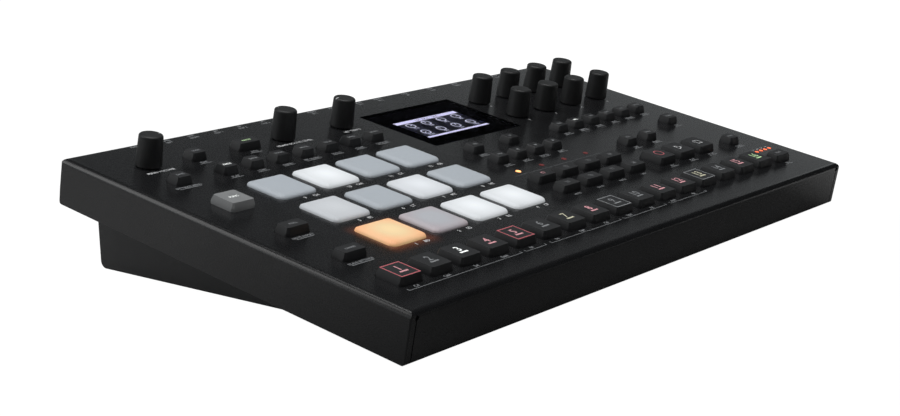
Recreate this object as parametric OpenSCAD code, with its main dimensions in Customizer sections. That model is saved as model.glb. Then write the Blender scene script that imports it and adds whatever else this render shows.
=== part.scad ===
// Desktop drum machine: sheet steel case tilted towards the player, with pads, step keys,
// small keys, turning knobs and a display. Millimetres, +Z up. The origin is at the middle
// of the bounding box on the surface that the rubber feet stand on. X runs to the player's
// right and Y runs away from the player. Controls are placed on the panel by u (from the
// left edge), v (from the front edge) and w (square to the panel, zero on its outer face).

/* [Case] */
// Width of the case
case_w = 385; // [376:1:420]
// Depth of the panel from its front edge to its rear edge
case_d = 214; // [210:0.5:240]
// Height of the front wall below the panel face
front_h = 23.7; // [23:0.1:30]
// Height of the rear wall below the panel face
rear_h = 22.5; // [22.5:0.1:29]
// Thickness of the cover's sheet steel
sheet_t = 1.5; // [1:0.1:2]
// Outside radius of the cover's bends
bend_r = 3; // [1.6:0.1:3.6]
// Angle by which the rear wall leans in, from square to the panel
rear_lean = 2.7; // [0:0.1:4]
// Angle by which the front wall leans in, from square to the panel
front_lean = 0.7; // [0:0.1:3]
// Angle of the panel above the table
tilt = 10.25; // [8:0.25:12]
// Width of the seam where the side folds meet the front wall
seam_w = 0.6; // [0.3:0.1:1]

/* [Tray] */
// Thickness of the tray's sheet steel
tray_t = 1.2; // [0.8:0.1:1.6]
// Height of the cover's inside, from the panel face down to the tray's underside
pan_depth = 22.2; // [21.8:0.1:23]
// Distance from the front edge to where the wedge starts below the tray
wedge_start = 17.2; // [14:0.1:24]
// Distance from the side of the case to the side of the wedge
wedge_inset = 20; // [14:0.5:40]
// Distance from the rear wall of the wedge, at its foot, to the rear edge of the panel
wedge_setback = 1.4; // [0.5:0.1:20]
// Angle by which the rear wall of the wedge leans back, from upright
wedge_lean = 2.1; // [0:0.1:6]
// Radius of the wedge's lower rear corner
wedge_r = 3.6; // [2:0.1:8]
// Height of the rubber feet
foot_h = 8; // [6:0.5:12]
// Diameter of the rubber feet
foot_d = 14; // [10:0.5:20]
// Distance from the side of the wedge to the middle of a foot
foot_inset = 30; // [12:1:60]

/* [Fasteners] */
// Diameter of the cover's screw posts
post_d = 7; // [6:0.5:9]
// Distance from the side of the case to a screw post's middle
post_inset = 9; // [7:0.5:10]
// Thread diameter of the case screws
screw_d = 2.8; // [2.4:0.1:3]
// Head diameter of the case screws
screw_head_d = 5.5; // [5:0.1:6]
// Diameter of the studs that carry the control board
stud_d = 5; // [4.5:0.1:5.4]

/* [Keys] */
// Side of a square key, and width of a wide key
key_l = 15.2; // [14:0.1:16]
// Depth of a flat key
key_s = 8.8; // [8:0.1:9.6]
// Width of a small key
key_n = 9.6; // [9:0.1:10.4]
// Height of a key above the panel
key_h = 4; // [3.6:0.1:6]
// Width of the sloping edge around a key's top
key_bevel = 1; // [0.4:0.1:1.4]
// Height of the sloping edge around a key's top
key_bevel_h = 3; // [1:0.1:3.2]
// Corner radius of a key
key_r = 2; // [0.5:0.1:3]
// How far a key goes down
key_travel = 1.5; // [0.8:0.1:1.8]
// Clearance between a key or pad and the edge of its opening
key_gap = 0.3; // [0.2:0.05:0.5]
// Width of the rim that holds a key or pad under the panel
key_lip = 1; // [0.6:0.1:1.3]
// Side of the square stem below a key
stem_s = 3; // [2:0.1:3.6]

/* [Pads] */
// Width of a pad
pad_w = 25.3; // [22:0.1:27]
// Depth of a pad
pad_d = 24.8; // [22:0.1:27]
// Height of a pad above the panel
pad_h = 1.9; // [1.6:0.1:3]
// Width of the sloping edge around a pad's top
pad_bevel = 2.2; // [0.5:0.1:3]
// Height of the sloping edge around a pad's top
pad_bevel_h = 1.2; // [0.3:0.1:1.4]
// Corner radius of a pad
pad_r = 3.5; // [2:0.1:6]
// How far a pad goes down
pad_travel = 0.7; // [0.4:0.1:0.9]

/* [Knobs] */
// Diameter of a knob at its foot
knob_d = 12.8; // [11:0.1:14]
// Diameter of a knob at its top
knob_top_d = 11.7; // [10:0.1:13]
// Height of a knob's top above the panel
knob_h = 16; // [12:0.1:22]
// Radius of a knob's top rim
knob_rim = 1.2; // [0.4:0.1:2]
// Gap between a knob and the panel
knob_gap = 0.5; // [0.3:0.1:1]
// Diameter of an encoder's shaft
shaft_d = 6; // [4:0.1:7]
// Clearance around the shaft in its knob, on the radius
shaft_fit = 0.05; // [0.02:0.01:0.09]
// Side of an encoder's square body
encoder_s = 11.7; // [10:0.1:11.8]

/* [Display] */
// Width of the display's glass
glass_w = 76.5; // [60:0.5:78]
// Depth of the display's glass
glass_d = 53.8; // [40:0.2:54]
// Thickness of the display's glass
glass_t = 1.5; // [1:0.1:2]
// Clearance around the glass
glass_gap = 0.15; // [0.1:0.05:0.3]

/* [Rear sockets] */
// Bore of an audio socket
jack_bore = 6.4; // [6.3:0.05:6.6]
// Outside diameter of an audio socket's bushing
jack_bush = 9; // [8.4:0.1:9.4]
// Length of the bushing outside the rear wall
jack_out = 3.5; // [3:0.1:5]
// Recess diameter of a round data socket
din_bore = 13.4; // [12:0.1:14]
// Diameter of the power button
power_d = 8.5; // [7:0.1:9.5]
// How far the power button goes in
power_travel = 2; // [1:0.1:2.4]

/* [Boards] */
// Thickness of the circuit boards
board_t = 1.6; // [1:0.1:1.8]
// Depth of the control board's upper face below the panel face
board_w = 9; // [8.8:0.1:9.4]
// Distance from the edge of the case to the edge of the control board
board_margin = 14; // [13:0.1:16]

/* [Hidden] */
$fn = 48;

// Small clearances and fixed small sizes
edge_gap = 0.3;       // between the tray and the cover's walls
seat_gap = 0.3;       // between a key's rim and the panel's underside
rim_t = 1;            // thickness of a key's rim
switch_s = 6.2;       // side of a key switch
well_gap = 0.3;       // between a stem and the wall of its switch
floor_t = 1;          // floor of a switch below its well
stem_in = 1.4;        // reach of a stem into its switch at rest
nut_t = 2.2;          // thickness of a socket's nut
nut_d = 12;           // diameter of a socket's nut
jack_len = 18.7;      // length of an audio socket's body
jack_body = 14.4;     // width of an audio socket's body
jack_h = 12;          // height of an audio socket's body
led_d = 2.9;          // diameter of a round light
led_small = 2.3;      // diameter of a page light
bush_d = 7;           // diameter of an encoder's bushing
bush_gap = 0.3;       // clearance around an encoder's bushing
screw_head_h = 1.3;   // height of a case screw's head
screw_len = 9;        // length of a case screw's thread
board_screw_len = 5;  // length of a board screw's thread
bush_wall_gap = 0.2;  // clearance of a bushing in the rear wall
corner_r = 1.5;       // radius of the side walls' lower corners
edge_cut = 0.7;       // bevel of the cover's upright edges
wedge_steps = 12;     // flats around the wedge's lower rear corner
glass_clear = 8.6;    // between the glass and the data encoders
glass_stud = 6.4;     // between the glass and the stud on its left
board_lift = 1;       // height of the connector board above the tray
din_body = 14;        // height of a round data socket's body
din_wall = 0.7;       // wall of a round data socket's collar
usb_w = 8.8;          // width of the USB socket's mouth
usb_h = 8.2;          // height of the USB socket's mouth
dc_bore = 6.6;        // bore of the power socket
header_n = 40;        // reach of the board connector from the rear wall

// Derived places of the case
pan_top = pan_depth - tray_t;
jack_q = pan_top - board_lift - board_t - jack_h / 2;
rear_drop = rear_h * tan(rear_lean);
front_drop = front_h * tan(front_lean);
wall_turn = tilt - rear_lean;
y_front = bend_r * (cos(tilt) + sin(tilt) - 1);
y_rear = case_d * cos(tilt) + jack_out * cos(wall_turn)
  + (jack_q + jack_bush / 2) * sin(wall_turn);
y0 = -(y_front + y_rear) / 2;
z0 = foot_h - wedge_start * sin(tilt) + pan_depth * cos(tilt);
wedge_y = y0 + case_d * cos(tilt) - wedge_setback;
tray_rear = case_d - sheet_t - edge_gap - pan_depth * tan(rear_lean);
post_v = [12, case_d / 2 - 2, case_d - 14];
foot_y = [y0 + wedge_start + 22, wedge_y - 22];

// Derived heights of the controls
rim_top = sheet_t + seat_gap;
rim_low = rim_top + rim_t;
switch_top = rim_low + key_travel + seat_gap;
stem_tip = switch_top + stem_in;
pad_sensor_t = 0.4;
pad_tip = board_w - pad_sensor_t - seat_gap - pad_travel;

// Places on the panel follow the case: lists are drawn for a case of this width and depth
drawn = [385, 214];
function place(p) = [for (i = [0 : len(p) - 1])
  i == 0 ? p[0] * case_w / drawn[0] : i == 1 ? p[1] * case_d / drawn[1] : p[i]];
function places(list) = [for (p = list) place(p)];
function along(list) = [for (u = list) u * case_w / drawn[0]];

// Places of the keys on the panel: [u, v, width, depth] of each cap's footprint
step_places = [for (i = [0 : 16]) place([17.3 + i * 20.6, 20.3, key_l])];
step_list = [for (i = [0 : 15]) concat(step_places[i], [key_l])];
func_list = places([[18.7, 119.8, key_l, key_l]]);
transport_list = places([for (i = [0 : 2]) [276.2 + i * 20.6, 52.8, key_l, key_l]]);
track_list = places([for (r = [0, 1], i = [0 : 3]) [185.3 + i * 20.6, 53.7 + r * 15.3, key_l, key_s]]);
page_list = places([for (i = [0 : 5]) [271.2 + i * 16, 117, key_n, key_s]]);
navigation_list = places(concat([[193.4, 117, key_n, key_s], [224.6, 117, key_n, key_s]],
  [for (i = [0 : 3]) [192.2 + i * 16.07, 99.8, key_n, key_s]]));
mode_list = places(concat([for (i = [0 : 6]) [51 + i * 17.87, 157, key_n, key_s]],
  [[20.8, 157, key_n, key_s], [51.5, 179, key_n, key_s], [83.3, 179, key_l, key_s],
   [17.5, 85.2, key_l, key_s], [17.5, 51.7, key_l, key_s]]));
side_list = concat(places([[351, 94, key_n, key_s], [351, 52.3, key_n, key_s],
  [288.3, 82, key_n, key_s], [308.9, 82, key_n, key_s]]), [concat(step_places[16], [key_s])]);
key_list = concat(step_list, func_list, transport_list, track_list, page_list,
  navigation_list, mode_list, side_list);
pad_list = places([for (r = [0 : 2], c = [0 : 3]) [50.4 + c * 31, 52.4 + r * 33.6]]);

// Places of the knobs, lights, glass, studs and rear sockets
knob_list = places(concat([[28.2, 185.2], [119, 184.5], [164, 184.5]],
  [for (r = [1, 0], i = [0 : 3]) [276.9 + i * 26.85, 150.8 + r * 27.4]]));
led_list = places([for (i = [0 : 3]) [192.9 + i * 20.6, 88.3]]);
page_led_list = places([for (i = [0 : 3]) [355.5 + i * 4.8, 38]]);
glass_u = knob_list[3][0] - encoder_s / 2 - glass_clear - glass_w / 2;
glass_v = (knob_list[3][1] + knob_list[7][1]) / 2 - 0.6;
stud_list = concat(places([[41.5, 44], [177, 60], [269, 60], [342, 60], [42, 146.5],
  [266.4, 132], [367, 138]]), [[glass_u - glass_w / 2 - glass_stud - stud_d / 2, place([0, 150])[1]]]);
jack_list = along([43, 62, 79, 96, 113, 130, 147, 168, 185, 206, 223]);
din_list = along([247, 270, 293]);
port_list = along([315, 333, 352]);
usb_u = port_list[0];
dc_u = port_list[1];
power_u = port_list[2];

// Puts its children, drawn in u, v and w, on the tilted panel
module panel() translate([-case_w / 2, y0, z0]) rotate([tilt, 0, 0]) children();

// Puts its children, drawn from the rear wall's outer face, on the rear wall
module rear_wall() panel() translate([0, case_d, 0]) rotate([-rear_lean, 0, 0]) children();

// Rectangle about the origin with round corners
module rrect(w, d, r) {
  square([w - 2 * r, d], center = true);
  square([w, d - 2 * r], center = true);
  for (x = [-1, 1], y = [-1, 1]) translate([x * (w / 2 - r), y * (d / 2 - r)]) circle(r);
}

// Outline of the case from the side, as v and w
module side_outline() {
  ff = bend_r * tan(front_lean);
  rr = bend_r * tan(rear_lean);
  polygon([[ff + bend_r, 0], [case_d - rr - bend_r, 0], [case_d - rr, -bend_r],
    [case_d - rear_drop + corner_r * tan(rear_lean), -rear_h + corner_r],
    [case_d - rear_drop - corner_r, -rear_h], [front_drop + corner_r, -front_h],
    [front_drop - corner_r * tan(front_lean), -front_h + corner_r], [ff, -bend_r]]);
  translate([ff + bend_r, -bend_r]) circle(bend_r);
  translate([case_d - rr - bend_r, -bend_r]) circle(bend_r);
  translate([case_d - rear_drop - corner_r + 0.05, -rear_h + corner_r]) circle(corner_r);
  translate([front_drop + corner_r, -front_h + corner_r]) circle(corner_r);
}

// Solid whose profile, drawn as v and w, runs across the case
module across(u0, u1) translate([u0, 0, 0]) rotate([90, 0, 90]) linear_extrude(u1 - u0) children();

// Cover's outer solid and the room inside it
module cover_outer() intersection() {
  translate([0, 0, -front_h - 1]) linear_extrude(front_h + 1)
    polygon([[edge_cut, 0], [case_w - edge_cut, 0], [case_w, edge_cut], [case_w, case_d - edge_cut],
      [case_w - edge_cut, case_d], [edge_cut, case_d], [0, case_d - edge_cut], [0, edge_cut]]);
  across(0, case_w) side_outline();
  translate([0, case_d, 0]) rotate([90, 0, 0]) linear_extrude(case_d) {
    polygon([[bend_r, 0], [case_w - bend_r, 0], [case_w, -bend_r], [case_w, -front_h - 1],
      [0, -front_h - 1], [0, -bend_r]]);
    for (x = [bend_r, case_w - bend_r]) translate([x, -bend_r]) circle(bend_r);
  }
}
module cover_room() across(sheet_t, case_w - sheet_t) polygon([
  [sheet_t, -sheet_t], [case_d - sheet_t - sheet_t * tan(rear_lean), -sheet_t],
  [case_d - sheet_t - (front_h + 2) * tan(rear_lean), -front_h - 2],
  [sheet_t + (front_h + 2) * tan(front_lean), -front_h - 2]]);

module key_hole(p, r) translate([p[0] + p[2] / 2, p[1] + p[3] / 2, -sheet_t - 1])
  linear_extrude(sheet_t + 2) rrect(p[2] + 2 * key_gap, p[3] + 2 * key_gap, r + key_gap);

module top_cover() color("#2c2d2f") {
  difference() {
    union() {
      panel() difference() {
        cover_outer();
        cover_room();
      }
      panel() for (x = [post_inset, case_w - post_inset], v = post_v)
        translate([x, v, -pan_top]) cylinder(d = post_d, h = pan_top - sheet_t + 0.2);
      panel() for (p = stud_list) translate([p[0], p[1], -board_w])
        cylinder(d = stud_d, h = board_w - sheet_t + 0.2);
    }
    panel() for (x = [post_inset, case_w - post_inset], v = post_v)
      translate([x, v, -pan_top - 1]) cylinder(d = screw_d + 0.2, h = screw_len + 1.5);
    panel() for (p = stud_list) translate([p[0], p[1], -board_w - 1])
      cylinder(d = screw_d + 0.2, h = board_screw_len + 1.5);
    panel() for (p = key_list) key_hole(p, key_r);
    panel() for (p = pad_list) key_hole([p[0], p[1], pad_w, pad_d], pad_r);
    panel() for (p = knob_list) translate([p[0], p[1], -sheet_t - 1])
      cylinder(d = bush_d + 2 * bush_gap, h = sheet_t + 2);
    panel() for (p = led_list) translate([p[0], p[1], -sheet_t - 1])
      cylinder(d = led_d + 0.3, h = sheet_t + 2);
    panel() for (p = page_led_list) translate([p[0], p[1], -sheet_t - 1])
      cylinder(d = led_small + 0.3, h = sheet_t + 2);
    panel() translate([glass_u, glass_v, -sheet_t - 1]) linear_extrude(sheet_t + 2)
      rrect(glass_w + 2 * glass_gap, glass_d + 2 * glass_gap, 1 + glass_gap);
    // Seams and bend reliefs at the front corners
    panel() for (x = [bend_r + 0.5, case_w - bend_r - 0.5 - seam_w])
      translate([x, -1, -front_h - 1]) cube([seam_w, 1.8, front_h - bend_r + 1]);
    panel() for (x = [bend_r + 0.5 + seam_w / 2, case_w - bend_r - 0.5 - seam_w / 2])
      translate([x, -1, -bend_r]) rotate([-90, 0, 0]) cylinder(d = 2.4, h = 1.9);
    // Holes of the rear wall
    rear_wall() for (u = jack_list) translate([u, 1, -jack_q]) rotate([90, 0, 0])
      cylinder(d = jack_bush + 2 * bush_wall_gap, h = sheet_t + 2);
    rear_wall() for (u = din_list) translate([u, 1, -conn_top + din_body / 2]) rotate([90, 0, 0])
      cylinder(d = din_bore + 2 * (din_wall + bush_wall_gap), h = sheet_t + 2);
    rear_wall() translate([usb_u - usb_w / 2 - 1.8, -sheet_t - 1, -conn_top - bush_wall_gap])
      cube([usb_w + 3.6, sheet_t + 2, usb_h + 2.8 + 2 * bush_wall_gap]);
    rear_wall() translate([dc_u, 1, -jack_q]) rotate([90, 0, 0])
      cylinder(d = dc_bore + 2.6 + 2 * bush_wall_gap, h = sheet_t + 2);
    rear_wall() translate([power_u, 1, -jack_q]) rotate([90, 0, 0])
      cylinder(d = power_d + 0.7, h = sheet_t + 2);
  }
}

// Wedge's outline from the side, as y and z, drawn in by o
module wedge_outline(o) {
  y1 = wedge_y - o / cos(wedge_lean);
  zb = foot_h + o;
  r = max(wedge_r - o, 0.5);
  k = r * tan((90 - wedge_lean) / 2);
  top = foot_h + case_d * sin(tilt) + 20;
  yb = y1 + (zb - foot_h) * tan(wedge_lean);
  bend = [for (i = [0 : wedge_steps]) -90 + i * (90 - wedge_lean) / wedge_steps];
  polygon(concat([[y0 - 20, zb]], [for (a = bend) [yb - k + r * cos(a), zb + r + r * sin(a)]],
    [[yb + (top - zb) * tan(wedge_lean), top], [y0 - 20, top]]));
}
module wedge_solid(o, lift) intersection() {
  translate([-case_w / 2 + wedge_inset + o, 0, 0]) rotate([90, 0, 90])
    linear_extrude(case_w - 2 * (wedge_inset + o)) wedge_outline(o);
  panel() translate([-20, 0, -100]) cube([case_w + 40, tray_rear, 100 - pan_depth + lift]);
}

module bottom_tray() color("#333436") difference() {
  union() {
    panel() across(sheet_t + edge_gap, case_w - sheet_t - edge_gap) polygon([
      [sheet_t + edge_gap + pan_depth * tan(front_lean), -pan_top],
      [tray_rear, -pan_top], [tray_rear, -pan_depth],
      [sheet_t + edge_gap + pan_depth * tan(front_lean), -pan_depth]]);
    wedge_solid(0, 0.1);
  }
  wedge_solid(tray_t, tray_t + 1);
  panel() for (x = [post_inset, case_w - post_inset], v = post_v)
    translate([x, v, -pan_depth - 1]) cylinder(d = screw_d + 0.6, h = tray_t + 2);
}

module rubber_feet() color("#1a1a1a") for (x = [-1, 1], y = foot_y)
  translate([x * (case_w / 2 - wedge_inset - foot_inset), y, 0]) {
    difference() {
      union() {
        cylinder(d1 = foot_d - 1.6, d2 = foot_d, h = 1);
        translate([0, 0, 1]) cylinder(d = foot_d, h = foot_h - 1);
      }
      translate([0, 0, -1]) cylinder(d = foot_d / 2, h = 4);
    }
  }

module case_screws() color("#55575a") {
  panel() for (x = [post_inset, case_w - post_inset], v = post_v) translate([x, v, 0]) {
    difference() {
      translate([0, 0, -pan_depth - screw_head_h]) cylinder(d = screw_head_d, h = screw_head_h);
      translate([0, 0, -pan_depth - screw_head_h - 1]) cylinder(d = 2.4, h = 1.7, $fn = 6);
    }
    translate([0, 0, -pan_depth]) cylinder(d = screw_d, h = tray_t + screw_len);
  }
  panel() for (p = stud_list) translate([p[0], p[1], 0]) {
    difference() {
      translate([0, 0, -board_w - board_t - screw_head_h])
        cylinder(d = screw_head_d, h = screw_head_h);
      translate([0, 0, -board_w - board_t - screw_head_h - 1]) cylinder(d = 2.4, h = 1.7, $fn = 6);
    }
    translate([0, 0, -board_w - board_t]) cylinder(d = screw_d, h = board_t + board_screw_len);
  }
}

module display_window() color("#050607") panel() translate([glass_u, glass_v, -glass_t - 0.1])
  linear_extrude(glass_t) rrect(glass_w, glass_d, 1);

module display_module() color("#15171a") panel() translate([glass_u, glass_v, 0]) {
  difference() {
    translate([-glass_w / 2 + 1, -glass_d / 2 + 1, -7]) cube([glass_w - 2, glass_d - 2, 6.9 - glass_t]);
    translate([-27.5, -14, -glass_t - 0.5]) cube([55, 27.6, 1]);
  }
  for (x = [-1, 1], y = [-1, 1])
    translate([x * (glass_w / 2 - 5), y * (glass_d / 2 - 5), -board_w])
      cylinder(d = 4, h = board_w - 6.9);
}

module control_board() color("#1d4a31") panel() difference() {
  translate([board_margin, 10, -board_w - board_t])
    cube([case_w - 2 * board_margin, case_d - 32.6, board_t]);
  for (p = stud_list) translate([p[0], p[1], -board_w - board_t - 1])
    cylinder(d = screw_d + 0.6, h = board_t + 2);
}

// Rear boards and sockets, drawn from the rear wall's outer face as u, n (out) and q (up)
conn_top = jack_q + jack_h / 2;
body_n = sheet_t + edge_gap;
header_h = conn_top - (board_w + board_t + edge_gap + header_n * sin(rear_lean)) / cos(rear_lean);
module connector_board() color("#1d4a31") rear_wall() {
  translate([30, -header_n - 4, -conn_top - board_t])
    cube([case_w - 55, header_n + 3 - body_n, board_t]);
  color("#101113") translate([case_w / 3, -header_n, -conn_top]) cube([50, 6, header_h]);
}

module audio_jacks() color("#1b1c1e") rear_wall() for (u = jack_list) translate([u, 0, -jack_q])
  rotate([-90, 0, 0]) difference() {
    union() {
      translate([-jack_body / 2, -jack_h / 2, -body_n - jack_len])
        cube([jack_body, jack_h, jack_len]);
      translate([0, 0, -body_n - 1]) cylinder(d = jack_bush, h = body_n + 1 + jack_out);
      cylinder(d = nut_d, h = nut_t, $fn = 6);
    }
    translate([0, 0, -body_n - jack_len + 1.5]) cylinder(d = jack_bore, h = jack_len + 10);
  }

module data_sockets() color("#18191b") rear_wall() {
  for (u = din_list) translate([u, 0, -conn_top]) difference() {
    union() {
      translate([-8.75, -body_n - 16, 0]) cube([17.5, 16, din_body]);
      translate([0, 0.4, din_body / 2]) rotate([90, 0, 0])
        cylinder(d = din_bore + 2 * din_wall, h = body_n + 1);
    }
    translate([0, 1, din_body / 2]) rotate([90, 0, 0]) cylinder(d = din_bore, h = 9);
    for (a = [0 : 45 : 180]) translate([4.2 * cos(a), 0, din_body / 2 - 4.2 * sin(a)])
      rotate([90, 0, 0]) cylinder(d = 1.6, h = 13);
  }
  translate([usb_u, 0, -conn_top]) difference() {
    translate([-usb_w / 2 - 1.6, -body_n - 14, 0]) cube([usb_w + 3.2, body_n + 14.4, usb_h + 2.8]);
    translate([-usb_w / 2, -9, 1.4]) cube([usb_w, 12, usb_h]);
  }
  translate([dc_u, 0, -jack_q]) difference() {
    union() {
      translate([-5, -body_n - 12, -jack_h / 2]) cube([10, 12, 11.4]);
      translate([0, 0.4, 0]) rotate([90, 0, 0]) cylinder(d = dc_bore + 2.6, h = body_n + 1);
    }
    translate([0, 1, 0]) rotate([90, 0, 0]) cylinder(d = dc_bore, h = 11);
  }
  translate([power_u, 0, -jack_q]) difference() {
    translate([-5.5, -power_body - 10, -jack_h / 2]) cube([11, 10, 11]);
    translate([-stem_s / 2 - well_gap, -power_body - 9, -stem_s / 2 - well_gap])
      cube([stem_s + 2 * well_gap, 20, stem_s + 2 * well_gap]);
  }
}
power_rim = sheet_t + seat_gap + rim_t;
power_body = power_rim + power_travel + seat_gap;

module power_button() color("#303234") rear_wall() translate([power_u, 0, -jack_q]) {
  translate([0, 2.2, 0]) rotate([90, 0, 0]) cylinder(d = power_d, h = 2.2 + power_rim);
  translate([0, 2.6, 0]) rotate([90, 0, 0]) cylinder(d1 = power_d - 0.8, d2 = power_d, h = 0.4);
  translate([0, -power_rim + rim_t, 0]) rotate([90, 0, 0])
    cylinder(d = power_d + 2 * key_lip, h = rim_t);
  translate([-stem_s / 2, -power_body - 2, -stem_s / 2]) cube([stem_s, power_travel + 3, stem_s]);
}

module rotary_encoders() color("#7d8084") panel() for (p = knob_list) translate([p[0], p[1], 0]) {
  translate([-encoder_s / 2, -encoder_s / 2, -board_w]) cube([encoder_s, encoder_s, board_w - sheet_t - 1]);
  translate([0, 0, -sheet_t - 1.2]) cylinder(d = bush_d, h = sheet_t + 1.2);
  translate([0, 0, -0.2]) cylinder(d = shaft_d, h = 11.2);
}

module knob(i) color("#1c1d1f") panel() translate([knob_list[i][0], knob_list[i][1], 0])
  difference() {
    rotate_extrude() {
      polygon([[0, knob_gap], [knob_d / 2 - 0.3, knob_gap], [knob_d / 2, knob_gap + 0.3],
        [knob_top_d / 2, knob_h - knob_rim], [knob_top_d / 2 - knob_rim, knob_h], [0, knob_h]]);
      intersection() {
        translate([knob_top_d / 2 - knob_rim, knob_h - knob_rim]) circle(knob_rim);
        translate([0, knob_h - knob_rim]) square([knob_top_d, knob_rim]);
      }
    }
    translate([0, 0, knob_gap - 1]) cylinder(r = shaft_d / 2 + shaft_fit, h = 12.5);
  }

// Key or pad: a cap with a sloping top edge, its rim under the panel, and its stem
module slopes(s, l, h, b, bh, e) translate([-l / 2, 0, 0]) rotate([90, 0, 90]) linear_extrude(l)
  polygon([[-s / 2 - e, -rim_low], [-s / 2 - e, h - bh - e * bh / b], [-s / 2 + b, h],
    [s / 2 - b, h], [s / 2 + e, h - bh - e * bh / b], [s / 2 + e, -rim_low]]);
module cap_solid(w, d, h, b, bh, r) {
  corners = (w + d - 4 * r) / sqrt(2) + 2 * r;
  intersection() {
    translate([0, 0, -rim_top - 0.1]) linear_extrude(h + rim_top + 0.1) rrect(w, d, r);
    slopes(d, w, h, b, bh, 0);
    rotate([0, 0, 90]) slopes(w, d, h, b, bh, 0);
    rotate([0, 0, 45]) slopes(corners, w + d, h, b, bh, 0.2);
    rotate([0, 0, -45]) slopes(corners, w + d, h, b, bh, 0.2);
  }
}
module key(p) panel() translate([p[0] + p[2] / 2, p[1] + p[3] / 2, 0]) {
  cap_solid(p[2], p[3], key_h, key_bevel, key_bevel_h, key_r);
  translate([0, 0, -rim_low]) linear_extrude(rim_t)
    rrect(p[2] + 2 * key_lip, p[3] + 2 * key_lip, key_r + key_lip);
  translate([-stem_s / 2, -stem_s / 2, -stem_tip]) cube([stem_s, stem_s, stem_tip - rim_low + 0.1]);
}
module keys(list, shade) color(shade) for (p = list) key(p);
module pad(i) color("#d8dadd") panel()
  translate([pad_list[i][0] + pad_w / 2, pad_list[i][1] + pad_d / 2, 0]) {
    cap_solid(pad_w, pad_d, pad_h, pad_bevel, pad_bevel_h, pad_r);
    translate([0, 0, -rim_low]) linear_extrude(rim_t)
      rrect(pad_w + 2 * key_lip, pad_d + 2 * key_lip, pad_r + key_lip);
    translate([-7, -7, -pad_tip]) cube([14, 14, pad_tip - rim_low + 0.1]);
  }

module key_switches() color("#26282b") panel() {
  for (p = key_list) translate([p[0] + p[2] / 2, p[1] + p[3] / 2, -board_w]) difference() {
    translate([-switch_s / 2, -switch_s / 2, 0]) cube([switch_s, switch_s, board_w - switch_top]);
    translate([-stem_s / 2 - well_gap, -stem_s / 2 - well_gap, floor_t / 2])
      cube([stem_s + 2 * well_gap, stem_s + 2 * well_gap, board_w]);
  }
  for (p = pad_list) translate([p[0] + pad_w / 2 - 8, p[1] + pad_d / 2 - 8, -board_w])
    cube([16, 16, pad_sensor_t]);
}

module status_leds() color("#d8683c") panel() {
  for (p = led_list) translate([p[0], p[1], -board_w]) cylinder(d = led_d, h = board_w + 0.15);
  for (p = page_led_list) translate([p[0], p[1], -board_w]) cylinder(d = led_small, h = board_w + 0.1);
}

step_shade = "#34363a";
top_cover();
bottom_tray();
rubber_feet();
case_screws();
display_window();
display_module();
control_board();
connector_board();
audio_jacks();
data_sockets();
rotary_encoders();
key_switches();
status_leds();
power_button();
knob(0);  // knob_volume
knob(1);  // knob_sound
knob(2);  // knob_tempo
knob(3);  // knob_a
knob(4);  // knob_b
knob(5);  // knob_c
knob(6);  // knob_d
knob(7);  // knob_e
knob(8);  // knob_f
knob(9);  // knob_g
knob(10);  // knob_h
pad(0);  // pad_1
pad(1);  // pad_2
pad(2);  // pad_3
pad(3);  // pad_4
pad(4);  // pad_5
pad(5);  // pad_6
pad(6);  // pad_7
pad(7);  // pad_8
pad(8);  // pad_9
pad(9);  // pad_10
pad(10);  // pad_11
pad(11);  // pad_12
keys([step_list[0]], step_shade);  // step_1
keys([step_list[1]], step_shade);  // step_2
keys([step_list[2]], step_shade);  // step_3
keys([step_list[3]], step_shade);  // step_4
keys([step_list[4]], step_shade);  // step_5
keys([step_list[5]], step_shade);  // step_6
keys([step_list[6]], step_shade);  // step_7
keys([step_list[7]], step_shade);  // step_8
keys([step_list[8]], step_shade);  // step_9
keys([step_list[9]], step_shade);  // step_10
keys([step_list[10]], step_shade);  // step_11
keys([step_list[11]], step_shade);  // step_12
keys([step_list[12]], step_shade);  // step_13
keys([step_list[13]], step_shade);  // step_14
keys([step_list[14]], step_shade);  // step_15
keys([step_list[15]], step_shade);  // step_16
keys(func_list, "#8d9093");  // func_key
keys(transport_list, step_shade);  // transport_keys
keys(track_list, step_shade);  // track_keys
keys(page_list, step_shade);  // page_keys
keys(navigation_list, step_shade);  // navigation_keys
keys(mode_list, step_shade);  // mode_keys
keys(side_list, step_shade);  // side_keys
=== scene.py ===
import math
import bpy
import bmesh
from mathutils import Matrix, Vector


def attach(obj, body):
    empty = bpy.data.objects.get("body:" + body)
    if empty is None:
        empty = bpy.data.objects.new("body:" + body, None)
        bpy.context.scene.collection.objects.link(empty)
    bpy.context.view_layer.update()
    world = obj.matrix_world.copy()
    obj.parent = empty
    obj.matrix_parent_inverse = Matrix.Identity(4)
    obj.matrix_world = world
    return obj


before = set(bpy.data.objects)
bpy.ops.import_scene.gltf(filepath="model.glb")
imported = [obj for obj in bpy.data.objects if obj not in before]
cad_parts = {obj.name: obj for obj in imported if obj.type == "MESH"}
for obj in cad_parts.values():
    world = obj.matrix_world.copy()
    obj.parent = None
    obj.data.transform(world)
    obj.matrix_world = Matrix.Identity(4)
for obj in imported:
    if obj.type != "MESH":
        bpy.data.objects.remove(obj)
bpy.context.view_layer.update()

# The panel's own frame in millimetres: u to the right, v to the rear, w square to the panel.
TILT = math.radians(10.25)
CORNER = (-0.1925, -0.1083804, 0.0267851)    # front left corner of the panel, in metres
DEPTH = 214.0                                # panel from front to rear
REAR_LEAN = math.radians(2.7)                # rear wall out of square to the panel
PANEL = Matrix.Translation(CORNER) @ Matrix.Rotation(TILT, 4, "X") @ Matrix.Scale(0.001, 4)


def at(u, v, w):
    return PANEL @ Vector((u, v, w))


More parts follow.
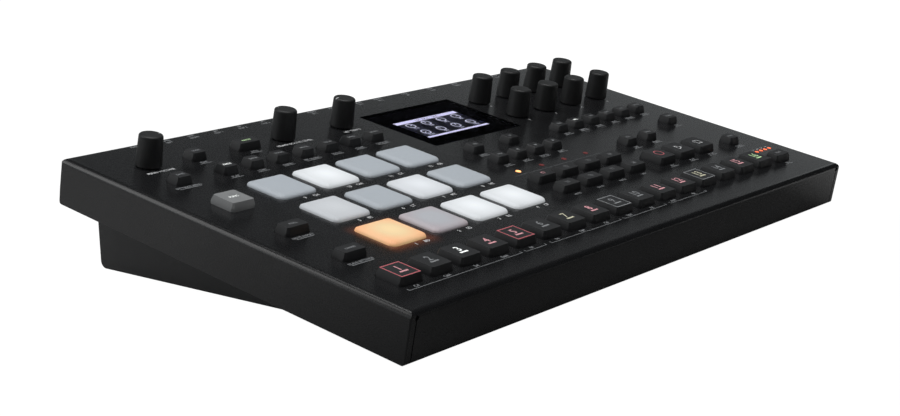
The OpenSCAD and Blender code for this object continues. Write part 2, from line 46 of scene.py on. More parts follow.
# ---------------------------------------------------------------- camera
# Place and axes in the panel's frame
cam_data = bpy.data.cameras.new("camera")
cam = bpy.data.objects.new("camera", cam_data)
bpy.context.scene.collection.objects.link(cam)
bpy.context.scene.camera = cam
bpy.context.scene.view_settings.view_transform = "Standard"
cam_data.sensor_width = 36
cam_data.lens = 70.23
cam_data.clip_start = 0.05
cam_data.clip_end = 20
right = Vector((0.61455, -0.77643, 0.1396))
down = Vector((-0.17537, -0.30699, -0.93542))
ahead = Vector((0.76914, 0.55038, -0.32482))
turn = Matrix((right, -down, -ahead)).transposed()
world_turn = Matrix.Rotation(TILT, 3, "X") @ turn
cam.matrix_world = Matrix.Translation(at(-521.96, -384.16, 269.03)) @ world_turn.to_4x4()


# ---------------------------------------------------------------- materials
class Look:
    """A node material with object coordinates in millimetres at hand."""

    def __init__(self, name):
        self.mat = bpy.data.materials.new(name)
        self.mat.use_nodes = True
        self.tree = self.mat.node_tree
        self.shader = self.tree.nodes["Principled BSDF"]
        coords = self.node("ShaderNodeTexCoord")
        scale = self.node("ShaderNodeVectorMath", operation="SCALE")
        scale.inputs["Scale"].default_value = 1000
        self.link(coords.outputs["Object"], scale.inputs[0])
        self.where = scale.outputs[0]

    def node(self, kind, **settings):
        n = self.tree.nodes.new(kind)
        for k, v in settings.items():
            setattr(n, k, v)
        return n

    def link(self, a, b):
        self.tree.links.new(a, b)

    def set(self, **values):
        for k, v in values.items():
            k = k.replace("_", " ")
            s = self.shader.inputs[k]
            s.default_value = (*v, 1) if isinstance(v, tuple) and len(v) == 3 else v
        return self

    def noise(self, scale, detail=3, rough=0.5):
        n = self.node("ShaderNodeTexNoise")
        n.inputs["Scale"].default_value = scale
        n.inputs["Detail"].default_value = detail
        n.inputs["Roughness"].default_value = rough
        self.link(self.where, n.inputs["Vector"])
        return n.outputs["Fac"]

    def span(self, value, a, b, c, d):
        """Maps a to c and b to d, and stays there outside of them."""
        n = self.node("ShaderNodeMapRange")
        for i, x in enumerate((a, b, c, d)):
            n.inputs[i + 1].default_value = x
        self.link(value, n.inputs[0])
        return n.outputs[0]

    def math(self, how, a, b):
        n = self.node("ShaderNodeMath", operation=how)
        for s, x in zip(n.inputs, (a, b)):
            if isinstance(x, (int, float)):
                s.default_value = x
            else:
                self.link(x, s)
        return n.outputs[0]

    def blend(self, fac, a, b):
        n = self.node("ShaderNodeMix", data_type="RGBA")
        self.link(fac, n.inputs[0])
        for s, x in ((n.inputs[6], a), (n.inputs[7], b)):
            if isinstance(x, tuple):
                s.default_value = (*x, 1)
            else:
                self.link(x, s)
        return n.outputs[2]

    def feed(self, socket, value):
        self.link(value, self.shader.inputs[socket])
        return self

    def bump(self, height, strength, distance):
        n = self.node("ShaderNodeBump")
        n.inputs["Strength"].default_value = strength
        n.inputs["Distance"].default_value = distance
        self.link(height, n.inputs["Height"])
        self.link(n.outputs[0], self.shader.inputs["Normal"])
        return self

    def dot(self, x, y, z):
        """How far a place lies along a direction, in mm."""
        n = self.node("ShaderNodeVectorMath", operation="DOT_PRODUCT")
        n.inputs[1].default_value = (x, y, z)
        self.link(self.where, n.inputs[0])
        return n.outputs["Value"]


def paint(name, dark, light, rough, grain=1.4):
    """Powder coat: fine orange peel, faint cloudiness and uneven shine."""
    k = Look(name)
    cloud = k.noise(0.05, 3)
    k.feed("Base Color", k.blend(k.span(cloud, 0.35, 0.65, 0, 1), dark, light))
    fine = k.noise(grain * 2.2, 2)
    k.feed("Roughness", k.span(fine, 0.3, 0.7, rough - 0.05, rough + 0.06))
    k.bump(k.noise(grain, 3, 0.6), 0.14, 0.00006)
    return k.set(IOR=1.45)


def plastic(name, dark, light, rough, grain=5.0):
    """Moulded plastic: spark-eroded grain and slightly uneven shine."""
    k = Look(name)
    k.feed("Base Color", k.blend(k.span(k.noise(0.2, 3), 0.3, 0.7, 0, 1), dark, light))
    k.feed("Roughness", k.span(k.noise(grain * 0.5, 2), 0.3, 0.7, rough - 0.05, rough + 0.05))
    k.bump(k.noise(grain, 2, 0.6), 0.25, 0.00003)
    return k.set(IOR=1.45)


def ink(name, color, rough=0.6, glow=0.0):
    """Printed mark, or with a glow a lit one."""
    k = Look(name)
    tone = tuple(0.82 * c for c in color)
    k.feed("Base Color", k.blend(k.span(k.noise(6, 2), 0.35, 0.65, 0, 1), tone, color))
    k.set(Roughness=rough, IOR=1.4)
    if glow:
        k.set(Emission_Color=color, Emission_Strength=glow)
    return k


LOOKS = {
    "cover": paint("cover_paint", (0.0080, 0.0083, 0.0090), (0.0100, 0.0104, 0.0112), 0.26),
    "tray": paint("tray_paint", (0.0120, 0.0124, 0.0132), (0.0150, 0.0154, 0.0162), 0.48),
    "key": plastic("key_plastic", (0.0130, 0.0137, 0.0150), (0.0165, 0.0172, 0.0187), 0.5),
    "func": plastic("func_plastic", (0.190, 0.197, 0.201), (0.215, 0.221, 0.225), 0.5),
    "knob": plastic("knob_plastic", (0.0110, 0.0116, 0.0122), (0.0140, 0.0147, 0.0152), 0.52, 3.0),
    "dark": plastic("socket_plastic", (0.010, 0.010, 0.011), (0.014, 0.014, 0.015), 0.45),
    "white": ink("ink_white", (0.62, 0.63, 0.64)),
    "grey": ink("ink_grey", (0.25, 0.26, 0.27)),
    "faint": ink("ink_faint", (0.11, 0.115, 0.12)),
    "lit": ink("lit_white", (0.85, 0.88, 0.86), 0.5, 0.45),
    "green": ink("lit_green", (0.46, 0.68, 0.36), 0.5, 0.28),
    "pink": ink("lit_pink", (0.60, 0.29, 0.32), 0.5, 0.26),
    "red": ink("lit_red", (0.48, 0.12, 0.14), 0.5, 0.20),
    "yellow": ink("lit_yellow", (0.56, 0.54, 0.40), 0.5, 0.20),
    "screen": ink("screen_lines", (0.62, 0.62, 0.74), 0.5, 0.85),
    "bar": ink("screen_bars", (0.70, 0.67, 0.88), 0.5, 0.90),
    "night": ink("screen_dark", (0.012, 0.012, 0.03), 0.4),
}


def pad_look(name, base, edge, glow_color, glow, cu, cv):
    """Milky silicone: light gathers in the middle of a lit pad and fades to its rim, both as glow
    and as painted light and shade in the pad's colour.
    """
    k = Look(name)
    c = at(cu, cv, 0) * 1000
    off = k.node("ShaderNodeVectorMath", operation="SUBTRACT")
    k.link(k.where, off.inputs[0])
    off.inputs[1].default_value = c
    size = k.node("ShaderNodeVectorMath", operation="LENGTH")
    k.link(off.outputs[0], size.inputs[0])
    r = size.outputs["Value"]
    # Painted light and shade: the colour runs from a middle tone to a rim tone as the pad's own glow
    # and the shade at its rim fall
    k.feed("Base Color", k.blend(k.span(r, 6, 17, 0, 1), base, edge))
    k.feed("Roughness", k.span(k.noise(0.6, 3), 0.3, 0.7, 0.5, 0.62))
    k.bump(k.noise(4.0, 2), 0.15, 0.00003)
    k.set(IOR=1.4, Emission_Color=glow_color)
    k.feed("Emission Strength", k.span(r, 2.0, 15.0, glow, glow * 0.5))
    return k


glass = Look("display_glass")
glass.set(Base_Color=(0.72, 0.73, 0.78), IOR=1.06, Transmission_Weight=1.0,
          Specular_Tint=(0.12, 0.12, 0.13))
glass.feed("Roughness", glass.span(glass.noise(0.3, 3), 0.35, 0.65, 0.01, 0.03))
LOOKS["glass"] = glass

module = Look("display_body")
module.feed("Base Color",
            module.blend(module.noise(2, 2), (0.002, 0.002, 0.003), (0.004, 0.004, 0.005)))
module.set(Roughness=0.6, Specular_IOR_Level=0.0)
LOOKS["module"] = module

steel = Look("screw_steel")
steel.feed("Base Color", steel.blend(steel.noise(1.5, 3), (0.10, 0.10, 0.105), (0.17, 0.17, 0.18)))
steel.feed("Roughness", steel.span(steel.noise(4, 3), 0.3, 0.7, 0.32, 0.45))
steel.set(Metallic=1.0).bump(steel.noise(8, 2), 0.1, 0.00002)
LOOKS["steel"] = steel

metal = Look("encoder_metal")
metal.feed("Base Color", metal.blend(metal.noise(1.5, 3), (0.42, 0.43, 0.44), (0.56, 0.57, 0.58)))
metal.feed("Roughness", metal.span(metal.noise(3, 3), 0.3, 0.7, 0.28, 0.42))
metal.set(Metallic=1.0).bump(metal.noise(10, 2), 0.1, 0.00002)
LOOKS["metal"] = LOOKS["pin"] = metal

rubber = Look("foot_rubber")
rubber.feed("Base Color",
            rubber.blend(rubber.noise(0.8, 3), (0.011, 0.011, 0.011), (0.019, 0.019, 0.019)))
rubber.feed("Roughness", rubber.span(rubber.noise(2, 3), 0.3, 0.7, 0.75, 0.9))
rubber.bump(rubber.noise(3, 3), 0.3, 0.00008)
LOOKS["rubber"] = rubber

# Circuit board: solder mask over copper tracks
board = Look("board_mask")
tracks = board.node("ShaderNodeTexBrick")
tracks.inputs["Scale"].default_value = 0.35
tracks.inputs["Mortar Size"].default_value = 0.012
tracks.inputs["Color1"].default_value = (0.012, 0.075, 0.032, 1)
tracks.inputs["Color2"].default_value = (0.010, 0.060, 0.027, 1)
tracks.inputs["Mortar"].default_value = (0.03, 0.14, 0.06, 1)
board.link(board.where, tracks.inputs["Vector"])
board.feed("Base Color", tracks.outputs["Color"])
board.feed("Roughness", board.span(board.noise(0.8, 3), 0.3, 0.7, 0.28, 0.4))
board.bump(tracks.outputs["Fac"], 0.2, 0.00004)
LOOKS["board"] = board

# Rear sockets: black housings, with bright nuts and bushings outside the rear wall
WALL = TILT - REAR_LEAN
top_edge = at(0, DEPTH, 0) * 1000
jack = Look("socket_body")
reach = jack.dot(0, math.cos(WALL), math.sin(WALL))
zero = top_edge.y * math.cos(WALL) + top_edge.z * math.sin(WALL)
outside = jack.span(reach, zero - 0.1, zero + 0.05, 0, 1)
jack.feed("Base Color", jack.blend(outside, (0.012, 0.012, 0.013), (0.50, 0.50, 0.48)))
jack.feed("Metallic", outside)
jack.feed("Roughness", jack.span(jack.noise(3, 3), 0.3, 0.7, 0.25, 0.42))
jack.bump(jack.noise(6, 2), 0.12, 0.00003)
LOOKS["jack"] = jack

# Lights: the first track light is on and orange, the other three are dim red, and the page
# lights at the right are bright red
FIRST_TRACK, PAGE_LIGHTS = 10.0, 120.0       # x to the left and to the right of which they lie
lamp = Look("light_pipe")
lamp_x = lamp.dot(1, 0, 0)
first = lamp.math("LESS_THAN", lamp_x, FIRST_TRACK)
page = lamp.math("GREATER_THAN", lamp_x, PAGE_LIGHTS)
tone = lamp.blend(first, (0.15, 0.02, 0.02), (1.0, 0.42, 0.16))
tone = lamp.blend(page, tone, (0.95, 0.16, 0.06))
lamp.feed("Base Color", tone)
lamp.feed("Emission Color", tone)
power = lamp.math("MAXIMUM", lamp.math("MULTIPLY", first, 1.6), lamp.math("MULTIPLY", page, 0.9))
lamp.feed("Emission Strength", lamp.math("MAXIMUM", power, 0.2))
lamp.set(Roughness=0.3)
LOOKS["lamp"] = lamp

# Pads: colour in the middle and at the rim, colour of the light and its strength. The two colours
# are painted light and shade: lit pads are painted lighter and tinted by their own glow, the orange
# one most at its rim, and an unlit pad's rim is painted a shade darker
OFF = ((0.42, 0.46, 0.50), (0.42, 0.455, 0.49), (1.0, 1.0, 1.0), 0.0)
SOFT = ((0.47, 0.49, 0.515), (0.46, 0.48, 0.505), (0.93, 0.97, 1.0), 0.18)
LIT = ((0.48, 0.50, 0.53), (0.47, 0.49, 0.515), (0.93, 0.97, 1.0), 0.37)
BRIGHT = ((0.50, 0.52, 0.54), (0.50, 0.52, 0.54), (0.94, 0.98, 1.0), 0.45)
FIRE = ((0.58, 0.42, 0.27), (0.85, 0.33, 0.17), (1.0, 0.80, 0.38), 0.42)
# Pad 2 glows faintly pink, with a painted pink tint of that light at its rim
FAINT_PINK_GLOW = ((0.43, 0.455, 0.49), (0.44, 0.385, 0.41), (1.0, 0.7, 0.7), 0.03)
PADS = [FIRE, FAINT_PINK_GLOW, BRIGHT, BRIGHT, SOFT, OFF, LIT, OFF, OFF, BRIGHT, OFF, OFF]
PAD_U, PAD_V = 63.05, 64.8                   # middle of the front left pad
PAD_STEP_U, PAD_STEP_V = 31.0, 33.6          # from one pad to the next
PADS_AT = [(PAD_U + c * PAD_STEP_U, PAD_V + r * PAD_STEP_V) for r in range(3) for c in range(4)]


def spill(k, u, v, color, glow, reach):
    """Light of the pad at (u, v) on the panel around it, fading over a distance in mm."""
    c = at(u, v, 0) * 1000
    gap = []
    half_pad = ((1, 0, 0), 12.2), ((0, math.cos(TILT), math.sin(TILT)), 12.0)
    for axis, half in half_pad:
        off = k.math("ABSOLUTE", k.math("SUBTRACT", k.dot(*axis), c.dot(Vector(axis))), 0)
        gap.append(k.math("MAXIMUM", k.math("SUBTRACT", off, half), 0))
    far = k.math("SQRT", k.math("ADD", *(k.math("MULTIPLY", q, q) for q in gap)), 0)
    near = k.math("POWER", k.span(far, 0, reach, 1, 0), 2)
    k.set(Emission_Color=color).feed("Emission Strength", k.math("MULTIPLY", near, glow))


# The orange pad lights the panel a little more on the player's side
spill(LOOKS["cover"], PADS_AT[0][0], PADS_AT[0][1] - 1.5, (1.0, 0.24, 0.08), 0.085, 7.5)


# ---------------------------------------------------------------- CAD nodes
NODE_LOOK = {"top_cover": "cover", "bottom_tray": "tray", "rubber_feet": "rubber",
             "case_screws": "steel", "display_window": "glass", "display_module": "module",
             "control_board": "board", "connector_board": "board", "audio_jacks": "jack",
             "data_sockets": "dark", "rotary_encoders": "metal", "key_switches": "dark",
             "status_leds": "lamp", "power_button": "key", "func_key": "func"}


def smooth_group(limit):
    """Shades a mesh smooth, apart from edges sharper than the limit."""
    g = bpy.data.node_groups.new("smooth_by_angle", "GeometryNodeTree")
    for way in ("INPUT", "OUTPUT"):
        g.interface.new_socket("Geometry", in_out=way, socket_type="NodeSocketGeometry")
    start, end = g.nodes.new("NodeGroupInput"), g.nodes.new("NodeGroupOutput")
    face, edge = (g.nodes.new("GeometryNodeSetShadeSmooth") for _ in range(2))
    face.domain, edge.domain = "FACE", "EDGE"
    edge.inputs["Shade Smooth"].default_value = False
    angle = g.nodes.new("GeometryNodeInputMeshEdgeAngle")
    more = g.nodes.new("FunctionNodeCompare")
    more.data_type, more.operation = "FLOAT", "GREATER_THAN"
    more.inputs[1].default_value = limit
    g.links.new(angle.outputs[0], more.inputs[0])
    g.links.new(more.outputs[0], edge.inputs["Selection"])
    g.links.new(start.outputs[0], face.inputs[0])
    g.links.new(face.outputs[0], edge.inputs[0])
    g.links.new(edge.outputs[0], end.inputs[0])
    return g


SMOOTH = smooth_group(math.radians(32))


def rounding(name):
    """Width of the rounding on a node's edges in mm."""
    if name.startswith("pad_"):
        return 0.9
    if name.startswith("step_") or name.endswith(("_key", "_keys")):
        return 0.35
    return 0.25 if name == "top_cover" else 0.0


def finish_edges(obj, width):
    weld = obj.modifiers.new("weld", "WELD")
    weld.merge_threshold = 0.000002
    if width:
        b = obj.modifiers.new("edges", "BEVEL")
        b.width = width / 1000
        b.segments = 3
        b.limit_method = "ANGLE"
        b.angle_limit = math.radians(30)
        b.use_clamp_overlap = True
    obj.modifiers.new("smooth", "NODES").node_group = SMOOTH
    n = obj.modifiers.new("normals", "WEIGHTED_NORMAL")
    n.keep_sharp = True


for name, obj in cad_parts.items():
    if name.startswith("pad_"):
        i = int(name[4:]) - 1
        look = pad_look(name + "_silicone", *PADS[i], *PADS_AT[i])
    else:
        look = LOOKS[NODE_LOOK.get(name) or ("knob" if name.startswith("knob_") else "key")]
    obj.data.materials.clear()
    obj.data.materials.append(look.mat)
    finish_edges(obj, rounding(name))

# ---------------------------------------------------------------- printed and lit marks
STOCK = {}                   # one mesh for each body and look
FACE = 0.0                   # panel's outer face
CAP = 4.0                    # top of a key
LIFT, THICK = 0.005, 0.03    # lower and upper side of a mark over its ground
STEP_U, KEY_STEP = 24.9, 20.6    # middle of the first step key, and from one to the next


def stock(body, look):
    return STOCK.setdefault((body, look), bmesh.new())


def prism(bm, outline, low, high):
    a = [bm.verts.new((u, v, low)) for u, v in outline]
    b = [bm.verts.new((u, v, high)) for u, v in outline]
    bm.faces.new(a[::-1])
    bm.faces.new(b)
    for i in range(len(a)):
        j = (i + 1) % len(a)
        bm.faces.new((a[i], a[j], b[j], b[i]))


def bar(body, look, u0, u1, v0, v1, base, t=THICK):
    prism(stock(body, look), [(u0, v0), (u1, v0), (u1, v1), (u0, v1)], base + LIFT, base + t)


def loop(body, look, outer, inner, base):
    """Closed ring between two outlines with as many points each."""
    bm = stock(body, look)
    rows = [[bm.verts.new((u, v, w)) for u, v in line] for line in (outer, inner)
            for w in (base + LIFT, base + THICK)]
    n = len(outer)
    for i in range(n):
        j = (i + 1) % n
        for a, b in ((0, 1), (1, 3), (3, 2), (2, 0)):
            bm.faces.new((rows[a][i], rows[a][j], rows[b][j], rows[b][i]))


def polygon(u, v, r, n):
    """Corners of an even polygon around (u, v), the first at the right."""
    turns = [2 * math.pi * i / n for i in range(n)]
    return [(u + r * math.cos(a), v + r * math.sin(a)) for a in turns]


def ring(body, look, u, v, r, line, base):
    loop(body, look, polygon(u, v, r, 32), polygon(u, v, r - line, 32), base)


def square(body, look, u, v, side, line, base):
    h = side / 2
    ends = [[(u - q, v - q), (u + q, v - q), (u + q, v + q), (u - q, v + q)] for q in (h, h - line)]
    loop(body, look, *ends, base)


def words(body, look, text, u, v, height, base=FACE, bold=0.0):
    """Letters of the given height in mm, standing on v and centred on u."""
    curve = bpy.data.curves.new("words", "FONT")
    curve.body = text
    curve.size = height / 0.70       # a capital is 0.70 of the size
    curve.align_x = "CENTER"
    curve.resolution_u = 2
    curve.extrude = 0.012
    curve.offset = bold
    obj = bpy.data.objects.new("words", curve)
    mesh = bpy.data.meshes.new_from_object(obj)
    mesh.transform(Matrix.Translation((u, v, base + 0.018)))
    stock(body, look).from_mesh(mesh)
    bpy.data.meshes.remove(mesh)
    bpy.data.objects.remove(obj)
    bpy.data.curves.remove(curve)


# Step keys: number over a short bar, and a frame around some
STEP = [("pink", "red"), ("grey", None), ("lit", None), ("pink", None),
        ("pink", "red"), ("grey", None), ("yellow", None), ("pink", None),
        ("grey", "grey"), ("grey", None), ("pink", None), ("pink", None),
        ("yellow", "grey"), ("grey", None), ("pink", None), ("green", None)]
for i, (look, frame_look) in enumerate(STEP):
    body, u = "step_%d" % (i + 1), STEP_U + KEY_STEP * i
    words(body, look, str(i + 1), u, 27.2, 4.4, CAP, bold=0.06)
    bar(body, look, u - 2.7, u + 2.7, 25.2, 26.3, CAP)
    if frame_look:
        square(body, frame_look, u, 27.9, 12.6, 0.6, CAP)

# Brackets and notes in front of the step keys
for a, b in ((18, 98), (101, 117), (121, 180), (183, 222), (226, 262)):
    bar("case", "grey", a, b, 16.25, 16.55, FACE)
    for u in (a, b - 0.4):
        bar("case", "grey", u, u + 0.4, 16.6, 18.0, FACE)
for i, note in enumerate("C4 C#4 D4 D#4 E4 F4 F#4 G4 G#4 A4 A#4 B4".split()):
    words("case", "grey", note, STEP_U + KEY_STEP * i, 17.3, 1.8, bold=0.05)

# Pads: number and sound under each
SOUND = "BD SD RS CP BT LT MT HT CH OH CY CB".split()
for i, (u, v) in enumerate(PADS_AT):
    words("case", "white", str(i + 1), u + 0.2, v - 16.0, 2.0, bold=0.05)
    words("case", "white", SOUND[i], u + 7.6, v - 16.0, 2.0, bold=0.05)

# Keys: a word on the cap and one on the panel before it
CAPS = [("mode_keys", "lit", "PADS", 55.8, 161.4), ("mode_keys", "grey", "BANK", 73.67, 161.4),
        ("mode_keys", "grey", "SONG", 91.54, 161.4), ("mode_keys", "grey", "MUTE", 109.41, 161.4),
        ("mode_keys", "grey", "SOLO", 127.28, 161.4), ("mode_keys", "grey", "SEND", 145.15, 161.4),
        ("mode_keys", "grey", "METRO", 163.02, 161.4), ("mode_keys", "grey", "SAVE", 25.6, 161.4),
        ("mode_keys", "grey", "GLIDE", 56.3, 183.4), ("mode_keys", "green", "NOTES", 90.9, 183.4),
        ("mode_keys", "grey", "ROLL", 25.1, 89.6), ("mode_keys", "grey", "CHORD", 25.1, 56.1),
        ("func_key", "lit", "FUNC", 26.3, 127.4),
        ("page_keys", "grey", "TRIG", 276.0, 121.4), ("page_keys", "lit", "SRC", 292.0, 121.4),
        ("page_keys", "grey", "FILT", 308.0, 121.4), ("page_keys", "grey", "AMP", 324.0, 121.4),
        ("page_keys", "grey", "FX", 340.0, 121.4), ("page_keys", "grey", "MOD", 356.0, 121.4),
        ("navigation_keys", "grey", "YES", 198.2, 121.4),
        ("navigation_keys", "grey", "UP", 229.4, 121.4),
        ("navigation_keys", "grey", "NO", 197.0, 104.2), ("side_keys", "grey", "TEMPO", 355.8, 98.4),
        ("side_keys", "grey", "SYNC", 355.8, 56.7), ("side_keys", "grey", "PTN", 293.1, 86.4),
        ("side_keys", "grey", "BANK", 313.7, 86.4), ("side_keys", "grey", "PAGE", 354.5, 24.7)]
for body, look, text, u, v in CAPS:
    size = 1.5 if len(text) < 5 else 1.3
    words(body, look, text, u, v - size / 2, size, CAP, bold=0.03)
for u, turn_to in ((213.07, 180), (229.14, 270), (245.21, 0)):
    arrow = [(u + 1.3 * math.cos(a), 104.2 + 1.3 * math.sin(a))
             for a in (math.radians(turn_to) + q for q in (0, 2.1, -2.1))]
    prism(stock("navigation_keys", "grey"), arrow, CAP + LIFT, CAP + THICK)
for row in range(2):
    for i in range(4):
        look = "pink" if (row, i) == (1, 0) else "grey"
        words("track_keys", look, "T%d" % (i + 5 - 4 * row), 192.9 + KEY_STEP * i,
              57.1 + 15.3 * row, 2.0, CAP)
ring("transport_keys", "red", 283.8, 60.4, 3.1, 0.5, CAP)
loop("transport_keys", "white", *(polygon(304.4, 60.4, r, 3) for r in (3.2, 2.3)), CAP)
square("transport_keys", "white", 325.0, 60.4, 4.6, 0.45, CAP)

BELOW = [("PLAY", 55.8, 154.2), ("LOAD", 73.67, 154.2), ("CHAIN", 91.54, 154.2),
         ("SET GLOBAL", 109.41, 154.2), ("FOCUS", 127.28, 154.2), ("CLEAR", 145.15, 154.2),
         ("CLICK SET", 163.02, 154.2), ("SETTINGS MENU", 25.6, 154.2), ("TIME", 56.3, 176.2),
         ("KEYS", 90.9, 176.2), ("NOTE REPEAT", 25.1, 82.2), ("SCALE SETTINGS", 25.1, 48.7),
         ("SETUP", 276.0, 114.2), ("SAMPLE", 292.0, 114.2), ("SHAPE", 308.0, 114.2),
         ("LEVEL", 324.0, 114.2), ("REVERB", 340.0, 114.2), ("CYCLE", 356.0, 114.2),
         ("ENTER", 198.2, 114.2), ("COPY", 197.0, 97.0), ("BACK", 213.07, 97.0),
         ("DOWN", 229.14, 97.0), ("NEXT", 245.21, 97.0), ("TAP", 355.8, 91.0),
         ("CLOCK", 355.8, 49.2), ("EDIT", 293.1, 79.2), ("SELECT", 313.7, 79.2),
         ("FILL", 354.5, 17.4), ("REC", 283.8, 49.8), ("PLAY", 304.4, 49.8), ("STOP", 325.0, 49.8)]
for text, u, v in BELOW:
    words("case", "grey", text, u, v, 1.5, bold=0.04)
    half = max(3.9, 0.52 * len(text))        # of the bar under the word
    bar("case", "grey", u - half, u + half, v - 1.0, v - 0.6, FACE)
for i, text in enumerate(("MUTE", "SOLO", "NOTE", "LEN")):
    words("case", "grey", text, 192.9 + KEY_STEP * i, 50.2, 1.5, bold=0.04)
bar("case", "faint", 184, 263, 83.9, 84.2, FACE)
for i, text in enumerate(("SOURCE", "FILTER", "AMP")):
    words("case", "faint", text, 292.0 + 16 * i, 110.9, 1.2)
words("case", "white", "MAIN VOLUME", 28.5, 175.9, 1.8, bold=0.05)
words("case", "white", "TRACK SOUND LEVEL", 119.5, 175.5, 1.8, bold=0.05)
words("case", "white", "SET TEMPO", 164, 175.5, 1.8, bold=0.05)
for v, row in ((141.2, "EFGH"), (168.6, "ABCD")):
    for i, letter in enumerate(row):
        words("case", "white", letter, 276.9 + 26.85 * i, v, 1.6)

# Sockets in the rear wall: two words each, along the rear edge of the panel
for name, note, u in (("PHONES", "OUT", 43), ("MAIN", "LEFT", 62), ("OUT", "RIGHT", 79),
                      ("BD", "OUT 1", 96), ("SD", "OUT 2", 113), ("RS", "OUT 3", 130),
                      ("BT", "OUT 4", 147), ("AUDIO", "IN L", 168), ("AUDIO", "IN R", 185),
                      ("PEDAL", "IN 1", 206),
                      ("PEDAL", "IN 2", 223), ("MIDI", "IN", 247), ("MIDI", "OUT", 270),
                      ("MIDI", "THRU", 293), ("USB", "2.0", 315), ("DC IN", "12 V", 333),
                      ("POWER", "ON/OFF", 352)):
    words("case", "grey", name, u, 208.9, 1.5, bold=0.06)
    words("case", "grey", note, u, 206.2, 1.5, bold=0.06)

# Page lights
for i, text in enumerate(("1:4", "2:4", "3:4", "4:4")):
    words("case", "white", text, 355.5 + 4.8 * i, 40.2, 1.1, bold=0.03)

# Knobs with a small mark on the rim, which follows the rim's curve
RIM_AT, RIM_LOW, RIM_R = 4.65, 14.8, 1.2     # middle of the rim's curve, and its radius
for body, u, v, turn_to in (("knob_volume", 28.2, 185.2, -10), ("knob_sound", 119, 184.5, 112),
                            ("knob_tempo", 164, 184.5, 168)):
    bm = stock(body, "white")
    a = math.radians(turn_to)
    rows = []
    for i in range(9):
        r = 3.9 + 0.22 * i
        over = max(r - RIM_AT, 0)
        w = RIM_LOW + math.sqrt(max(RIM_R ** 2 - over ** 2, 0))
        for side, lift in ((-0.3, 0.03), (0.3, 0.03), (0.3, -0.1), (-0.3, -0.1)):
            rows.append(bm.verts.new((u + r * math.cos(a) - side * math.sin(a),
                                      v + r * math.sin(a) + side * math.cos(a), w + lift)))
    for i in range(8):
        for j in range(4):
            k, m = 4 * i + j, 4 * i + (j + 1) % 4
            bm.faces.new((rows[k], rows[m], rows[m + 4], rows[k + 4]))
    bm.faces.new(rows[:4][::-1])
    bm.faces.new(rows[-4:])

# Display: bars at the top and bottom, eight dials with values between them
LOW = -2.0                   # front of the display panel, below the glass
bar("case", "night", 197.3, 251.1, 150.5, 177.0, LOW, 0.02)
bar("case", "bar", 197.6, 250.8, 173.4, 176.8, LOW, 0.05)
bar("case", "bar", 197.6, 250.8, 150.7, 152.6, LOW, 0.05)
words("case", "night", "1:01  KICK  120.0", 224.2, 174.1, 1.9, LOW + 0.05)
DIALS = (("TUN", 210), ("DEC", 120), ("LEV", 60), ("PAN", 150),
         ("CUT", 30), ("RES", 90), ("ATK", 170), ("REL", 10))
for i, (text, degrees) in enumerate(DIALS):
    u, v = 204.6 + 13.2 * (i % 4), 157.6 + 10.6 * (i // 4)
    ring("case", "screen", u, v + 1.4, 3.1, 0.7, LOW + 0.02)
    a = math.radians(degrees)
    hand = [(u + p * math.cos(a) - q * math.sin(a), v + 1.4 + p * math.sin(a) + q * math.cos(a))
            for p, q in ((0, -0.3), (2.6, -0.3), (2.6, 0.3), (0, 0.3))]
    prism(stock("case", "screen"), hand, LOW + 0.025, LOW + 0.05)
    words("case", "screen", text, u, v - 3.6, 1.5, LOW + 0.02)

# Pin of the power socket, seen in its bore from behind
PIN_U, PIN_Q, PIN_R = 333, -12.4, 1.0        # along the rear wall, below its top edge, radius
LEAN = Matrix.Rotation(-REAR_LEAN, 4, "X")
bm = stock("case", "pin")
ends = [[bm.verts.new(Vector((0, DEPTH, 0)) + LEAN @ Vector((u, n, q)))
         for u, q in polygon(PIN_U, PIN_Q, PIN_R, 16)] for n in (-9.98, -4.6)]
for i in range(16):
    j = (i + 1) % 16
    bm.faces.new((ends[0][i], ends[0][j], ends[1][j], ends[1][i]))
for end in ends:
    bm.faces.new(end)

for (body, look), bm in STOCK.items():
    bmesh.ops.remove_doubles(bm, verts=bm.verts, dist=0.0005)
    bmesh.ops.transform(bm, matrix=PANEL, verts=bm.verts)
    bmesh.ops.recalc_face_normals(bm, faces=bm.faces)
    mesh = bpy.data.meshes.new("marks_%s_%s" % (body, look))
    bm.to_mesh(mesh)
    bm.free()
    obj = bpy.data.objects.new(mesh.name, mesh)
    bpy.context.scene.collection.objects.link(obj)
    mesh.materials.append(LOOKS[look].mat)
    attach(obj, body)

# ---------------------------------------------------------------- floor, world and lamps
floor_mesh = bpy.data.meshes.new("floor")
floor_mesh.from_pydata([(-8, -8, 0), (8, -8, 0), (8, 8, 0), (-8, 8, 0)], [], [(0, 1, 2, 3)])
floor = bpy.data.objects.new("floor", floor_mesh)
bpy.context.scene.collection.objects.link(floor)


def ramp(tree, value, *ends):
    """Maps the first of four numbers to the third and the second to the fourth."""
    n = tree.nodes.new("ShaderNodeMapRange")
    for s, x in zip(n.inputs[1:5], ends):
        s.default_value = x
    tree.links.new(value, n.inputs[0])
    return n.outputs[0]


def combine(tree, how, a, b):
    n = tree.nodes.new("ShaderNodeMath")
    n.operation = how
    tree.links.new(a, n.inputs[0])
    tree.links.new(b, n.inputs[1])
    return n.outputs[0]


def mix(tree, fac, a, b):
    n = tree.nodes.new("ShaderNodeMixShader")
    for s, x in zip(n.inputs, (fac, a, b)):
        tree.links.new(x, s)
    return n.outputs[0]


pale = bpy.data.materials.new("floor")
pale.use_nodes = True
t = pale.node_tree
t.nodes.clear()
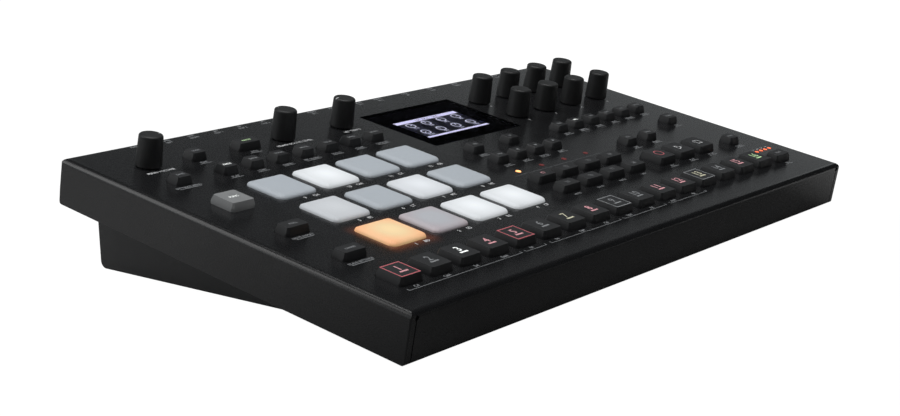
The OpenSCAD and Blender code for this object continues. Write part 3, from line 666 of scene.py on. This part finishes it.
# The floor is darker towards the player, which keeps the front wall dark, and lighter at the sides
spot = t.nodes.new("ShaderNodeTexCoord")
parts = t.nodes.new("ShaderNodeSeparateXYZ")
t.links.new(spot.outputs["Object"], parts.inputs[0])
tone = ramp(t, parts.outputs["Y"], -0.15, 0.15, 0.08, 0.42)
for ends in ((-0.12, -0.32, 0.0, 0.13), (0.18, 0.30, 0.0, 0.60)):
    tone = combine(t, "ADD", tone, ramp(t, parts.outputs["X"], *ends))
grey = t.nodes.new("ShaderNodeCombineColor")
for channel in grey.inputs:
    t.links.new(tone, channel)
matt = t.nodes.new("ShaderNodeBsdfDiffuse")
t.links.new(grey.outputs[0], matt.inputs["Color"])
# The camera sees it nearly white, with the machine's shadow still on it
bright = t.nodes.new("ShaderNodeEmission")
bright.inputs["Color"].default_value = (1, 1, 1, 1)
bright.inputs["Strength"].default_value = 1.12
path = t.nodes.new("ShaderNodeLightPath")
seen = ramp(t, path.outputs["Is Camera Ray"], 0.0, 1.0, 0.0, 0.9)
out = t.nodes.new("ShaderNodeOutputMaterial")
t.links.new(mix(t, seen, matt.outputs[0], bright.outputs[0]), out.inputs[0])
floor_mesh.materials.append(pale)

world = bpy.data.worlds.new("world")
bpy.context.scene.world = world
world.use_nodes = True
t = world.node_tree
t.nodes.clear()
soft, shine, white = (t.nodes.new("ShaderNodeBackground") for _ in range(3))
for n, color, strength in ((soft, (1, 1, 1, 1), 0.16), (white, (1, 1, 1, 1), 1.0),
                           (shine, (0.94, 0.985, 1, 1), 1.0)):
    n.inputs["Color"].default_value = color
    n.inputs["Strength"].default_value = strength
# What gloss sees: a bright band along the rear horizon under a dim ceiling
sky = t.nodes.new("ShaderNodeTexCoord")
split = t.nodes.new("ShaderNodeSeparateXYZ")
t.links.new(sky.outputs["Generated"], split.inputs[0])
band = ramp(t, split.outputs["Z"], 0.26, 0.37, 0.66, 0.015)
rear = ramp(t, split.outputs["Y"], -0.05, 0.30, 0.04, 1.0)
t.links.new(combine(t, "MULTIPLY", band, rear), shine.inputs["Strength"])
path = t.nodes.new("ShaderNodeLightPath")
lit = mix(t, path.outputs["Is Glossy Ray"], soft.outputs[0], shine.outputs[0])
out = t.nodes.new("ShaderNodeOutputWorld")
t.links.new(mix(t, path.outputs["Is Camera Ray"], lit, white.outputs[0]), out.inputs[0])


def softbox(name, place, target, width, height, power):
    data = bpy.data.lights.new(name, "AREA")
    data.shape = "RECTANGLE"
    data.size, data.size_y = width, height
    data.energy = power
    obj = bpy.data.objects.new(name, data)
    bpy.context.scene.collection.objects.link(obj)
    obj.location = place
    obj.rotation_euler = (Vector(target) - Vector(place)).to_track_quat("-Z", "Y").to_euler()


softbox("overhead", (-0.15, -0.1, 1.5), (0.0, 0.0, 0.0), 1.1, 0.9, 19)
softbox("left", (-1.05, 0.90, 0.95), (0.0, 0.0, 0.03), 0.5, 1.2, 6.0)
